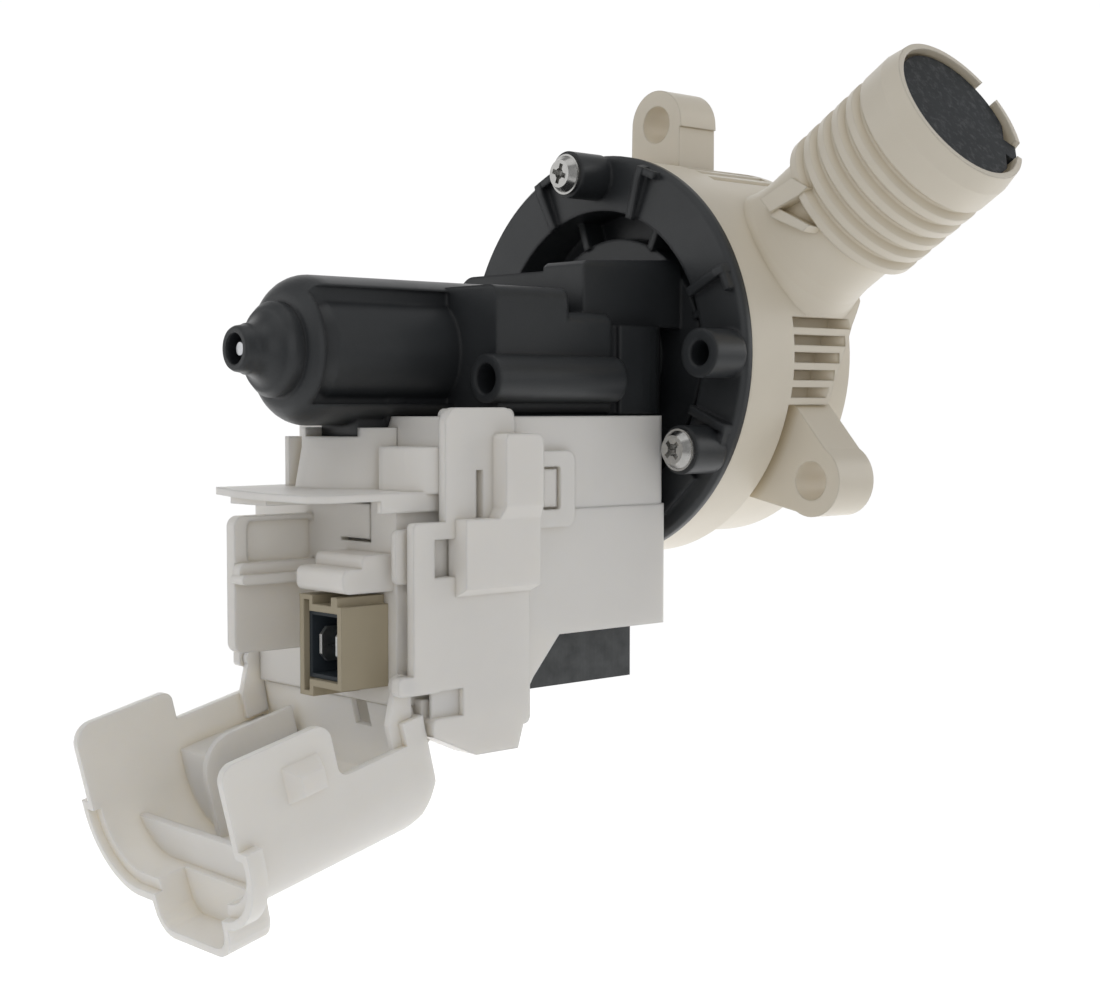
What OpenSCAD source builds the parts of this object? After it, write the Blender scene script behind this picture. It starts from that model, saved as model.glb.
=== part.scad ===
// Drain pump of a washing machine: a synchronous motor in a dark casing, its
// coils and terminal housing in white, and a cream volute with a radial outlet.
// The shaft lies along X. Stations along it are measured from the joint face
// between casing and volute, with the motor on the negative side. at_seat()
// then moves every piece so that the origin is the centre of the bolt circle,
// in the plane of the ears' seats. Angles round the shaft start at the near
// side (-Y) and count upwards.

/* [Volute] */
// Outer radius of the volute drum
drum_r = 42; // [41:0.5:43]
// Station of the rear wall of the volute
rear_x = 37; // [36:0.5:39]
// Radius of the round pump chamber
chamber_r = 31; // [29:0.5:32]
// Inner radius of the inlet spigot
inlet_r = 17.5; // [15:0.5:18]
// Length of the inlet spigot behind the rear wall
inlet_len = 10; // [6:1:12]

/* [Mounting ears] */
// Diameter of the bolt circle
ear_pcd = 102; // [98:1:106]
// Diameter of each bolt hole
ear_hole_d = 8; // [6:0.5:9]
// Station of the ears' seats
seat_x = 27; // [25:1:30]
// Thickness of each ear
ear_t = 11; // [8:1:13]
// Outer radius of each ear
ear_r = 7.4; // [7:0.2:8]

/* [Outlet] */
// Angle of the outlet above the horizontal
outlet_tilt = 32; // [25:1:40]
// Station of the outlet axis
outlet_x = 24; // [23:0.5:24.5]
// Inner radius of the outlet
outlet_r = 12.5; // [11:0.5:13]
// Outer radius over the hose ribs
hose_r = 17; // [16:0.2:18]
// Distance from the shaft to the outlet mouth
mouth_s = 87.2; // [84:0.2:90]
// Number of hose ribs
hose_ribs = 5; // [3:1:5]

/* [Motor casing] */
// Radius of the casing flange
flange_r = 42.5; // [42.5:0.5:45]
// Radius of the rotor barrel
barrel_r = 14; // [13.6:0.2:14.4]
// Half width of the pole cover box
box_y = 22; // [21.5:0.5:23]

/* [Motor] */
// Radius of the rotor magnet
magnet_r = 11; // [9:0.5:11.2]
// Radius of the shaft
shaft_r = 1.5; // [1.4:0.1:1.6]
// Stack height of the laminated core along the shaft
core_len = 35; // [25:1:35]

/* [Impeller] */
// Radius over the blades
impeller_r = 25; // [20:0.5:26]
// Number of blades
blade_count = 6; // [4:1:8]
// Angle taken by the driving dog, and again by the lug that it meets
dog_sector = 84; // [60:2:90]

/* [Splash cover] */
// Angle of the open cover below the horizontal
cover_drop = 14; // [0:1:20]
// Length of the cover from its hinge
cover_len = 40; // [38:1:42]
// Half width over the cover walls
cover_y = 26; // [26:0.5:27]
// Depth of the cover
cover_deep = 29; // [27:1:31]

/* [Hidden] */
$fn = 64;
eps = 0.02;

// Angles of the ears and of the case screws
ear_angles = [90, -30, 210];
screw_pcd = 76;
boss_x = -10.5;
boss_r = 4.85;
spare_boss_angle = 0;

// Casing flange and its dished pocket
rim_t = 2.2;
wall = 2;
band_r = 31;
spigot_r = band_r + wall;
hub_r = 25.4;
hub_x = 3.6;
dish_x = 10.5;
flange_ribs = 8;
flange_rib_first = 24;
dish_rib_first = 19;

// Rotor chamber inside the casing
can_r = 11.8;
can_wall = 1.2;
can_rear_x = -47.9;
tail_r = 9.3;
tail_rear_x = -77;
slot_can_r = 11.3;
nose_x = -92;
collar_x = -84.5;
collar_r = 8.8;
bearing_seat_r = 6;
bearing_seat_x = -83.2;

// Pole cover box and the neck between box and flange
box_x0 = -48.5;
box_x1 = -18.8;
box_top = 12.5;
box_low = -12;
step_x = -30.4;
neck_x = -24;
neck_y = 19.5;
neck_low = 5.7;
neck_top = 16.8;
tube_y = -22;
tube_z = -5.2;
tube_r = 4.6;
strip_y = 5.8;
strip_low = -16;

// Laminated core
core_x1 = -11.5;
core_x0 = core_x1 - core_len;
leg_y0 = 9.5;
leg_y1 = 20;
arm_y = 18.6;
arm_r = 17.2;
pole_gap_r = can_r + can_wall + 0.25;
pole_top = 11;
yoke_low = -65;
yoke_top = -55;

// Bobbins and windings
fit = 0.15;
bobbin_t = 0.8;
winding_t = 2.2;
bobbin_low = -52.6;
bobbin_top = -14.4;
bobbin_flange_t = 1.2;

// Coil cover, in an upper and a lower half
coil_y = 25;
cc_x0 = -62;
cc_x1 = -6.4;
cc_top = -12.3;
cc_seam = -30;
cc_low = -54.2;
cc_t = 1.4;
gusset_y = 20.4;

// Terminal housing
th_x0 = -72.3;
th_x1 = -44.8;
th_top = -27.2;
th_low = -64.5;
th_y = 24;
th_t = 1.8;
plate_y = -27;
plate_low = -70;

// Connector
con_x0 = -82.6;
con_y0 = -19.4;
con_y1 = -6.4;
con_low = -61;
con_top = -46;
tab_pitch = 5;

// Splash cover and its hinge
hinge_x = -73.2;
hinge_z = -60.3;
trunnion_r = 0.9;
ear_t0 = 23.1;
ear_t1 = 24.6;
cover_t = 1.6;
cover_corner = 12;

cream = "#e4dac6";
dark = "#33383b";
white = "#efeeea";
beige = "#b3a583";
steel = "#b9bcc0";
copper = "#b4683a";

// Helpers

// Moves a piece from shaft stations to the part's own origin
module at_seat() {
    translate([-seat_x, 0, 0]) children();
}

// Turns a profile drawn as [radius, station] about the shaft
module turned() {
    rotate([0, 90, 0]) rotate_extrude() children();
}

// Round bar on the shaft axis between two stations
module bar(r, x0, x1) {
    translate([x0, 0, 0]) rotate([0, 90, 0]) cylinder(r = r, h = x1 - x0);
}

// Ring on the shaft axis between two stations
module ring(r_in, r_out, x0, x1) {
    difference() {
        bar(r_out, x0, x1);
        bar(r_in, x0 - 1, x1 + 1);
    }
}

// Turns a shape so that its own +Z points outwards at an angle round the shaft
module outwards(angle) {
    rotate([90 - angle, 0, 0]) children();
}

// Round bar along X at a distance from the shaft, at an angle round it
module bar_at(angle, dist, r, x0, x1) {
    outwards(angle) translate([x0, 0, dist])
        rotate([0, 90, 0]) cylinder(r = r, h = x1 - x0);
}

// Box given by two opposite corners
module block(a, b) {
    translate(a) cube(b - a);
}

// Rectangle with four round corners, from two opposite corners
module rounded(a, b, r) {
    translate([a[0] + r, a[1]]) square([b[0] - a[0] - 2 * r, b[1] - a[1]]);
    translate([a[0], a[1] + r]) square([b[0] - a[0], b[1] - a[1] - 2 * r]);
    for (x = [a[0] + r, b[0] - r], y = [a[1] + r, b[1] - r])
        translate([x, y]) circle(r = r);
}

// Plate drawn as [x, z] between two y values
module xz_plate(y0, y1) {
    translate([0, y1, 0]) rotate([90, 0, 0]) linear_extrude(y1 - y0) children();
}

// Cutter that rounds a plate's corner at a point; sx and sy point into the plate
module corner_cut(x, y, r, sx, sy) {
    translate([x, y]) scale([sx, sy]) difference() {
        translate([-1, -1]) square(r + 1);
        translate([r, r]) circle(r = r);
    }
}

// Plate drawn as [x, y] between two z values
module xy_plate(z0, z1) {
    translate([0, 0, z0]) linear_extrude(z1 - z0) children();
}

// Plate drawn as [y, z] between two x values
module yz_plate(x0, x1) {
    translate([x0, 0, 0]) rotate([90, 0, 90]) linear_extrude(x1 - x0) children();
}

// Points of an arc
function arc(c, r, a0, a1, n) =
    [for (i = [0 : n]) let (a = a0 + (a1 - a0) * i / n) c + r * [cos(a), sin(a)]];

// Volute housing

// Lays a shape drawn along +Z from the shaft on the outlet axis
module on_outlet() {
    translate([outlet_x, 0, 0]) outwards(outlet_tilt) children();
}

// Ears: the upper one has straight sides, the lower ones widen towards the drum
module ears() {
    reach = ear_pcd / 2;
    root = 33;
    for (angle = ear_angles) {
        spread = ear_r + (angle == 90 ? 0.4 : 6);
        outwards(angle) yz_plate(seat_x - ear_t, seat_x) {
            translate([0, reach]) circle(r = ear_r);
            polygon([[-ear_r, reach], [ear_r, reach], [spread, root], [-spread, root]]);
        }
    }
}

fin_start = 13.3;
near_fins = [6.65, 3.05, -0.5, -4.05, -7.6];
top_fins = [-8, -11.6, -15.2, -18.8];
// Rear edge of the full-radius side of the drum, as [station, height]
pad_edge = [[37, 12.4], [32.3, 6.5], [28.5, -0.2], [26.3, -6], [25.4, -10.1]];

// Full-radius part of the drum round the outlet, which carries both groups of fins
module fin_pad() {
    foot = 30;
    intersection() {
        turned() polygon([[foot, 12], [drum_r, 12], [drum_r, rear_x - 0.6],
            [drum_r - 0.6, rear_x], [foot, rear_x]]);
        union() {
            xz_plate(-50, -18)
                polygon(concat([[11, -10.1], [11, 36], [rear_x + 1, 36], [rear_x + 1, 12.4]], pad_edge));
            block([11, -26, 20], [rear_x + 1, -5.5, 50]);
        }
    }
}

// Slots that leave the parallel fins standing
module fin_slots() {
    half = 1.05;
    for (z = near_fins) {
        end = lookup(-z, [for (p = pad_edge) [-p[1], p[0]]]) - 0.8;
        xy_plate(z - half, z + half)
            polygon([[fin_start, -50], [end, -50], [end, -41.6], [end - 3.6, -38.4], [fin_start, -38.4]]);
    }
    for (y = top_fins)
        xz_plate(y - half, y + half)
            polygon([[fin_start, 50], [rear_x - 2, 50], [rear_x - 3, 36.5], [fin_start, 36.5]]);
}

module hose_profile() {
    rib_pitch = 4.1;
    first_rib = 57;
    groove_r = hose_r - 1.2;
    neck_r = hose_r - 2.3;
    land = first_rib + hose_ribs * rib_pitch;
    polygon(concat(
        [[0, 24], [neck_r + 4, 34], [neck_r + 2.2, 37.5], [neck_r + 1, 40.5], [neck_r + 0.3, 43.5],
            [neck_r, 46.5], [neck_r, first_rib - 1]],
        [for (k = [0 : hose_ribs - 1]) each [
            [groove_r, first_rib - 0.9 + k * rib_pitch],
            [hose_r, first_rib + k * rib_pitch],
            [hose_r, first_rib + 1.6 + k * rib_pitch],
            [groove_r, first_rib + 2.6 + k * rib_pitch]]],
        [[groove_r, land - 0.9], [hose_r, land], [hose_r, mouth_s - 4],
            [hose_r - 0.9, mouth_s], [0, mouth_s]]));
}

// Hose stop on the motor side of the neck
module hose_stop() {
    rotate([0, 0, 175]) {
        yz_plate(12.9, 17.4)
            polygon([[-4.8, 48.6], [-3.4, 57.4], [0.9, 60], [0.9, 57.4], [-0.8, 49.6]]);
        yz_plate(12.9, 16.6)
            polygon([[-1, 51], [7.4, 56.4], [7.4, 54.4], [-0.5, 48.6]]);
    }
}

module volute_body() {
    inlet_end = rear_x + inlet_len;
    core_r = drum_r - 3.6;
    turned() polygon([[0, 0], [drum_r - 0.5, 0], [drum_r, 0.6], [drum_r, 13],
        [core_r, 15.5], [core_r, rear_x - 1.5], [core_r - 1.5, rear_x],
        [inlet_r + 3.5, rear_x], [inlet_r + 3.5, inlet_end - 1.2],
        [inlet_r + 2.3, inlet_end], [0, inlet_end]]);
    ears();
    fin_pad();
    on_outlet() {
        rotate_extrude() hose_profile();
        hose_stop();
    }
}

module volute_housing() at_seat() color(cream) {
    difference() {
        volute_body();
        fin_slots();
        // Mouth that takes the casing spigot, pump chamber and inlet
        bar(spigot_r + 0.1, -1, dish_x + 0.2);
        bar(chamber_r, dish_x, rear_x - 3.5);
        bar(inlet_r, rear_x - 5, rear_x + inlet_len + 1);
        // Groove of the flange seal
        ring(seal_r - seal_w / 2 - 0.15, seal_r + seal_w / 2 + 0.15, -1, seal_w);
        // Outlet bore, flap seat and the two notches of the mouth
        on_outlet() {
            translate([0, 0, 28]) cylinder(r = outlet_r, h = 70);
            translate([0, 0, flap_s]) cylinder(r = flap_r + 0.7, h = 9);
            rotate([0, 0, 25]) block([14, -2.2, flap_s], [22, 2.2, mouth_s + 1]);
            rotate([0, 0, flap_angle]) {
                block([13.6, -2.4, flap_s], [22, 2.4, mouth_s + 1]);
                flap_pin(pin_r + 0.06, 3.2);
            }
        }
        for (angle = ear_angles) {
            bar_at(angle, ear_pcd / 2, ear_hole_d / 2, seat_x - ear_t - 1, seat_x + 1);
            bar_at(angle, screw_pcd / 2, screw_shank_r + 0.05, -1, 12);
        }
    }
}

// Seal between casing flange and volute
seal_r = 35.1;
seal_w = 1.6;

module flange_seal() at_seat() color("#1b1c1d") {
    turned() translate([seal_r, seal_w / 2]) circle(r = seal_w / 2, $fn = 24);
}

// Case screws

screw_shank_r = 1.65;
screw_head_r = 4.2;
screw_head_t = 2.3;

module case_screw() {
    difference() {
        union() {
            cylinder(r = screw_shank_r, h = 21);
            translate([0, 0, -0.7]) cylinder(r = screw_head_r, h = 0.7);
            translate([0, 0, -screw_head_t]) cylinder(r1 = screw_head_r - 1.3,
                r2 = screw_head_r - 0.4, h = screw_head_t - 0.7);
        }
        for (a = [0, 90]) rotate([0, 0, a + 20])
            translate([0, 0, -screw_head_t]) cube([4.2, 1, 2.6], center = true);
        translate([0, 0, -screw_head_t - 0.1]) cylinder(r1 = 1.2, r2 = 0.5, h = 2);
    }
}

module case_screws() at_seat() color(steel) {
    for (angle = ear_angles) outwards(angle)
        translate([boss_x, 0, screw_pcd / 2]) rotate([0, 90, 0]) case_screw();
}

// Motor casing

module flange_disc() {
    difference() {
        turned() polygon([[0, -rim_t], [flange_r - 0.8, -rim_t], [flange_r, -rim_t + 0.8],
            [flange_r, 0], [spigot_r, 0], [spigot_r, dish_x], [0, dish_x]]);
        // Dished pocket on the motor side
        ring(hub_r, band_r, -rim_t - 1, dish_x - wall);
        bar(hub_r + eps, -rim_t - 1, hub_x);
        // Room behind the hub on the wet side
        bar(hub_r - wall, hub_x + wall, dish_x + 1);
    }
    for (k = [0 : flange_ribs - 1]) {
        outwards(flange_rib_first + 45 * k) {
            xz_plate(-0.9, 0.9) polygon([[-rim_t + 0.1, band_r - 0.5], [-rim_t - 1.2, band_r - 0.5],
                [-rim_t - 2.1, flange_r - 3.5], [-rim_t - 1.8, flange_r - 1], [-rim_t + 0.1, flange_r - 0.6]]);
            block([-rim_t - 1.7, -4.4, flange_r - 2.4], [-rim_t + 0.1, -0.2, flange_r - 0.9]);
        }
        outwards(dish_rib_first + 45 * k)
            block([hub_x - 0.8, -0.8, hub_r - 0.5], [dish_x - wall + 0.1, 0.8, band_r + 0.5]);
    }
    // Raised panel with straight edges below the near screw
    outwards(-49) block([-rim_t - 1.3, -5.6, band_r + 0.6], [-rim_t + 0.1, 6.4, 38.6]);
    for (angle = concat(ear_angles, [spare_boss_angle]))
        bar_at(angle, screw_pcd / 2, boss_r, boss_x, -rim_t + 0.1);
}

module barrel_profile() {
    dome = 6;
    shoulder = 8.6;
    polygon(concat([[0, nose_x], [3.9, nose_x], [4.2, nose_x + 0.5], [4.5, nose_x + 2.2]],
        arc([collar_r, nose_x + 2.4], 4.1, 180, 104, 6),
        [[collar_r, collar_x], [collar_r, collar_x + 1.6]],
        [for (i = [0 : 8]) let (a = i * 11.25)
            [shoulder + (barrel_r - shoulder) * sin(a), -76.5 - dome * cos(a)]],
        [[barrel_r, hub_x + 0.1], [0, hub_x + 0.1]]));
}

// Slots along both sides of the barrel, open to the inner can
module barrel_slots() {
    for (side = [-1, 1]) scale([1, side, 1])
        difference() {
            block([-80.5, 7, -10], [box_x0 + 0.1, 20, 11.5]);
            turned() polygon([[0, -81], [8.6, -81], [10.4, -79], [slot_can_r, -77],
                [slot_can_r, box_x0 + 1], [0, box_x0 + 1]]);
        }
}

module pole_box() {
    r = 2.2;
    yz_plate(box_x0, step_x) rounded([-box_y, box_low], [box_y, box_top], r);
    yz_plate(step_x - 1, box_x1) rounded([-box_y, box_low], [box_y, neck_low + r], r);
    xy_plate(box_low, neck_low) {
        polygon(concat([[box_x1 + 2.4, -box_y]], arc([-10, -10], 12, -90, -45, 4),
            [[hub_x + 0.1, -8], [hub_x + 0.1, 8]], arc([-10, 10], 12, 45, 90, 4),
            [[box_x1 + 2.4, box_y], [box_x1 + 2.4, box_y - 1.4], [box_x1 - 0.1, box_y - 1.4],
                [box_x1 - 0.1, -box_y + 1.4], [box_x1 + 2.4, -box_y + 1.4]]));
    }
}

// Neck between box and hub: a flat top, and a taller block on the near side
module neck() {
    end = hub_x + 0.1;
    yz_plate(neck_x, end) {
        rounded([-neck_y, neck_low], [neck_y, neck_top], 5);
        translate([-neck_y, neck_low]) square([2 * neck_y, 5]);
    }
    intersection() {
        yz_plate(neck_x, end) {
            rounded([-neck_y, neck_low + 1], [-7.6, 21], 4);
            translate([-13, neck_low + 1]) square([4, 12]);
        }
        xz_plate(-30, 0) polygon([[neck_x, neck_low], [end, neck_low], [end, 19.8], [neck_x + 1, 18.4],
            [neck_x, 17.6]]);
    }
    // Sill in the step between box and neck
    block([step_x - 0.1, -13, neck_low], [neck_x + 0.1, 13, box_top - 1.5]);
}

// Screw tubes beside the box, and the strip and lug under the barrel
module casing_trim() {
    for (side = [-1, 1]) translate([0, side * tube_y, tube_z]) bar(tube_r, -51.4, box_x1 + 0.1);
    block([-69, -strip_y, strip_low], [box_x0 + 0.1, strip_y, -12]);
    translate([0, 0, -10]) bar(7.2, -63, -59);
}

// Room that the white housings leave for that strip and lug
module strip_room() {
    block([-80, -strip_y - 0.1, strip_low - 0.05], [box_x0 + 0.2, strip_y + 0.1, 0]);
    translate([0, 0, -10]) bar(7.3, -63.1, -58.9);
}

module motor_casing() at_seat() color(dark) {
    difference() {
        union() {
            flange_disc();
            difference() {
                turned() barrel_profile();
                barrel_slots();
            }
            pole_box();
            neck();
            casing_trim();
        }
        // Rotor chamber, bearing seat and the open nose
        bar(can_r, can_rear_x, dish_x);
        bar(tail_r, tail_rear_x, can_rear_x + 0.1);
        bar(bearing_seat_r, bearing_seat_x, tail_rear_x + 0.1);
        bar(shaft_r + 0.3, nose_x, bearing_seat_x + 0.1);
        bar(2.9, nose_x - 1, nose_x + 4);
        // Pockets that take the pole arms
        for (side = [-1, 1]) scale([1, side, 1]) difference() {
            pole_arm(fit, box_low - 1);
            bar(can_r + can_wall, core_x0 - 1, core_x1 + 1);
        }
        for (side = [-1, 1])
            translate([0, side * tube_y, tube_z]) bar(2.9, -52, -34);
        for (angle = ear_angles)
            bar_at(angle, screw_pcd / 2, screw_shank_r + 0.4, boss_x - 1, 1);
        bar_at(spare_boss_angle, screw_pcd / 2, 2.55, boss_x - 1, -rim_t + 0.8);
    }
}

// Rotor

shaft_x0 = -90.8;
shaft_x1 = 23;
magnet_x0 = -46;
magnet_x1 = -12;
sleeve_r = 3.2;

module rotor_shaft() at_seat() color(steel) {
    turned() polygon([[0, shaft_x0], [shaft_r - 0.3, shaft_x0], [shaft_r, shaft_x0 + 0.3],
        [shaft_r, shaft_x1 - 0.3], [shaft_r - 0.3, shaft_x1], [0, shaft_x1]]);
}

module magnet_sleeve() at_seat() color("#4a4d50") {
    difference() {
        union() {
            bar(sleeve_r, magnet_x0 - 1.6, magnet_x1 + 1.6);
            bar(9, magnet_x0 - 1.6, magnet_x0);
            bar(9, magnet_x1, magnet_x1 + 1.6);
        }
        bar(shaft_r + 0.01, magnet_x0 - 3, magnet_x1 + 3);
    }
}

module rotor_magnet() at_seat() color("#3d3b3c") {
    ring(sleeve_r + 0.02, magnet_r, magnet_x0, magnet_x1);
}

// Bearings and seal

module front_bearing_carrier() at_seat() color("#55585a") {
    difference() {
        union() {
            bar(can_r - 0.03, -4, hub_x + wall);
            bar(14.5, hub_x + wall, hub_x + wall + 1.5);
        }
        bar(4.5, -5, 1);
        bar(2.3, 0, 4);
        bar(5, 3, 10);
    }
}

module front_bearing() at_seat() color("#6b5a48") {
    ring(shaft_r + 0.03, 4.48, -4, 1);
}

module shaft_seal() at_seat() color("#1f2021") {
    turned() polygon([[shaft_r + 0.03, 4.2], [shaft_r + 0.6, 3], [4.98, 3], [4.98, 7],
        [3.8, 7], [3.8, 4.6], [shaft_r + 0.9, 4.6], [shaft_r + 0.4, 5.4],
        [shaft_r + 0.03, 5]]);
}

module rear_bearing() at_seat() color("#6b5a48") {
    ring(shaft_r + 0.03, 4, bearing_seat_x, bearing_seat_x + 5);
}

module rear_bearing_cushion() at_seat() color("#1f2021") {
    difference() {
        bar(bearing_seat_r - 0.02, bearing_seat_x, bearing_seat_x + 5);
        bar(4.02, bearing_seat_x - 1, bearing_seat_x + 6);
    }
}

// Impeller with its lost-motion drive

back_x = 12;
back_t = 1.6;
cup_r = 8;
cup_in_r = 6.3;
cup_x0 = 8.2;
cup_floor = 12.6;
cup_x1 = 22;
dog_play = 0.15;
running_fit = 0.06;

// Sector of a ring round the shaft, centred on an angle
module sector(r_in, r_out, angle, width, x0, x1) {
    steps = 8;
    outwards(angle) yz_plate(x0, x1)
        polygon(concat(
            [for (i = [0 : steps]) let (a = 90 - width / 2 + width * i / steps)
                r_out * [cos(a), sin(a)]],
            [for (i = [0 : steps]) let (a = 90 + width / 2 - width * i / steps)
                r_in * [cos(a), sin(a)]]));
}

module impeller_blades() {
    for (k = [0 : blade_count - 1])
        outwards(90 + k * 360 / blade_count)
            xz_plate(-0.9, 0.9)
                polygon([[back_x + 0.4, cup_r - 0.6], [back_x + 0.4, impeller_r - 0.4],
                    [back_x + 10, impeller_r - 0.4], [back_x + 14.5, impeller_r - 7],
                    [back_x + 14.5, 15], [cup_x1 - 1, cup_r - 0.6]]);
}

module impeller() at_seat() color("#2b2e30") {
    difference() {
        union() {
            bar(cup_r, cup_x0, cup_x1);
            bar(impeller_r, back_x, back_x + back_t);
            impeller_blades();
        }
        bar(shaft_r + running_fit, cup_x0 - 1, cup_floor + 1);
        bar(cup_in_r, cup_floor, cup_x1 + 1);
    }
    sector(3.5, cup_in_r + 0.3, -90, dog_sector, cup_floor - 0.2, 19.6);
}

module impeller_cap() at_seat() color("#2b2e30") {
    difference() {
        union() {
            bar(cup_in_r - 0.02, cup_x1 - 1.8, cup_x1);
            turned() polygon(concat([[0, cup_x1], [cup_r, cup_x1], [cup_r, cup_x1 + 1]],
                [for (i = [1 : 5]) [cup_r * cos(i * 18), cup_x1 + 1 + 4.5 * sin(i * 18)]]));
        }
        bar(shaft_r + running_fit, cup_x1 - 3, shaft_x1 + 0.3);
    }
}

module drive_dog() at_seat() color("#8d8f90") {
    difference() {
        union() {
            bar(3.3, cup_floor + dog_play, 19.6);
            sector(2.8, cup_in_r - 0.15, 90, dog_sector, cup_floor + dog_play, 19.6);
        }
        bar(shaft_r + 0.01, cup_floor - 1, 21);
    }
}

// Stator

// Upper end of one pole, grown by g: it follows the box, then the round neck
module pole_arm(g, low) {
    block([core_x0 - g, 5, low], [core_x1 + g, arm_y + g, 4 + g]);
    intersection() {
        bar(arm_r + g, core_x0 - g, core_x1 + g);
        block([core_x0 - g, 5, low], [core_x1 + g, 20, pole_top + g]);
    }
}

module stator_core() at_seat() color("#5a5e60") {
    difference() {
        union() {
            block([core_x0, -leg_y1, yoke_low], [core_x1, leg_y1, yoke_top]);
            for (side = [-1, 1]) scale([1, side, 1]) {
                block([core_x0, leg_y0, yoke_top - 0.1], [core_x1, leg_y1, box_low - 0.1]);
                intersection() {
                    pole_arm(0, box_low - 0.25);
                    block([core_x0 - 1, 5, box_low - 0.25], [core_x1 + 1, 30, pole_top]);
                }
            }
        }
        bar(pole_gap_r, core_x0 - 1, core_x1 + 1);
        // Wider gap over a quarter of each pole, which sets the starting angle
        for (angle = [-22, 158])
            sector(pole_gap_r - 1, pole_gap_r + 0.6, angle, 40, core_x0 - 1, core_x1 + 1);
    }
}

// Outline of the bobbin tube, grown by g, as [x, y] on the near side
module leg_outline(g) {
    translate([core_x0 - g, -leg_y1 - g])
        square([core_len + 2 * g, leg_y1 - leg_y0 + 2 * g]);
}

module bobbin() {
    tube_g = fit + bobbin_t;
    difference() {
        union() {
            xy_plate(bobbin_low, bobbin_top) leg_outline(tube_g);
            for (z = [bobbin_low, bobbin_top - bobbin_flange_t])
                xy_plate(z, z + bobbin_flange_t) leg_outline(tube_g + winding_t + 0.3);
        }
        xy_plate(bobbin_low - 1, bobbin_top + 1) leg_outline(fit);
    }
}

module winding() {
    tube_g = fit + bobbin_t;
    layers = 9;
    z0 = bobbin_low + bobbin_flange_t;
    pitch = (bobbin_top - bobbin_low - 2 * bobbin_flange_t) / layers;
    difference() {
        union() {
            xy_plate(z0, z0 + layers * pitch) leg_outline(tube_g + winding_t - 0.15);
            for (k = [0 : 2 : layers - 1])
                xy_plate(z0 + k * pitch, z0 + (k + 1) * pitch) leg_outline(tube_g + winding_t);
        }
        xy_plate(bobbin_low, bobbin_top) leg_outline(tube_g);
    }
}

module near_bobbin() at_seat() color("#d8d4c4") bobbin();
module far_bobbin() at_seat() color("#d8d4c4") mirror([0, 1, 0]) bobbin();
module near_winding() at_seat() color(copper) winding();
module far_winding() at_seat() color(copper) mirror([0, 1, 0]) winding();

// Coil cover

// Openings for both legs of the core
module leg_windows(z0, z1) {
    for (side = [0, 1]) mirror([0, side, 0])
        xy_plate(z0, z1) leg_outline(fit + bobbin_t + 0.2);
}

module coil_cover_upper() at_seat() color(white) {
    difference() {
        union() {
            xy_plate(cc_seam, cc_top) rounded([cc_x0, -coil_y], [cc_x1, coil_y], 2);
            // Catches for the two snap loops
            for (side = [-1, 1]) scale([1, side, 1])
                block([-40.3, coil_y - 0.1, -29.5], [-37, coil_y + 0.9, -22.3]);
        }
        xy_plate(cc_seam - 1, cc_top - cc_t)
            rounded([cc_x0 + cc_t, -coil_y + cc_t], [cc_x1 - cc_t, coil_y - cc_t], 0.4);
        leg_windows(cc_top - 5, cc_top + 1);
        bar(barrel_r + 0.2, cc_x0 - 1, cc_x1 + 1);
        strip_room();
    }
}

module coil_cover_lower() at_seat() color(white) {
    side_x = cc_x1 + 0.7;
    difference() {
        xy_plate(cc_low, cc_seam) rounded([cc_x0, -coil_y], [side_x, coil_y], 2);
        xy_plate(cc_low + cc_t, cc_seam + 1)
            rounded([cc_x0 + cc_t, -coil_y + cc_t], [cc_x1 - cc_t, coil_y - cc_t], 0.4);
        leg_windows(cc_low - 1, cc_low + 5);
    }
    // Gussets beside the core, one on each side
    for (side = [-1, 1]) scale([1, side, 1])
        xz_plate(gusset_y, coil_y)
            polygon([[-35.4, cc_low + 0.1], [-42.2, -61.8], [-44.8, -66],
                [cc_x0, -66], [cc_x0, cc_low + 0.1]]);
}

// Terminal housing

module side_plate() {
    // Flat plate with a notch, then two blocks that stand prouder, each with a
    // sloping lower edge
    difference() {
        xz_plate(plate_y, -coil_y) {
            rounded([th_x0, -61.7], [-58, -31.2], 1);
            rounded([-61, plate_low], [th_x1, -31.2], 1.5);
        }
        block([-67.5, plate_y - 1, -41.2], [-62.8, -coil_y + 0.1, -34.3]);
    }
    lower_step = 3.2;
    upper_step = 4;
    yz_plate(-62.8, th_x1) polygon([[plate_y + 0.1, -45], [plate_y - lower_step, -43.4],
        [plate_y - lower_step, -30.8], [plate_y + 0.1, -30.8]]);
    intersection() {
        yz_plate(-62, th_x1) polygon([[plate_y + 0.1, -32], [plate_y - 3.2, -31], [plate_y - upper_step, -28.6],
            [plate_y - upper_step, -15.4], [-coil_y - 0.1, -15.4], [-coil_y - 0.1, -32]]);
        // Upright block with two rounded upper corners
        xz_plate(plate_y - 6, -coil_y) difference() {
            polygon([[-54, -14], [th_x1, -14], [th_x1, -33], [-55.6, -33], [-55, -31], [-54, -29]]);
            corner_cut(th_x1, -15.4, 1.6, -1, -1);
            corner_cut(-54, -15.4, 1, 1, -1);
        }
    }
}

// Upright plate beside the coil cover, and its cap over the cover's edge
module hump() {
    difference() {
        union() {
            xz_plate(plate_y, -coil_y) rounded([-65, -34], [-48.4, -10.6], 3);
            xz_plate(plate_y + 0.1, -20) rounded([-61.2, -14], [-48.6, -10.8], 1.4);
        }
        block([-57.8, plate_y - 1, -30.7], [-56.2, -coil_y + 1, -22]);
    }
}

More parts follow.
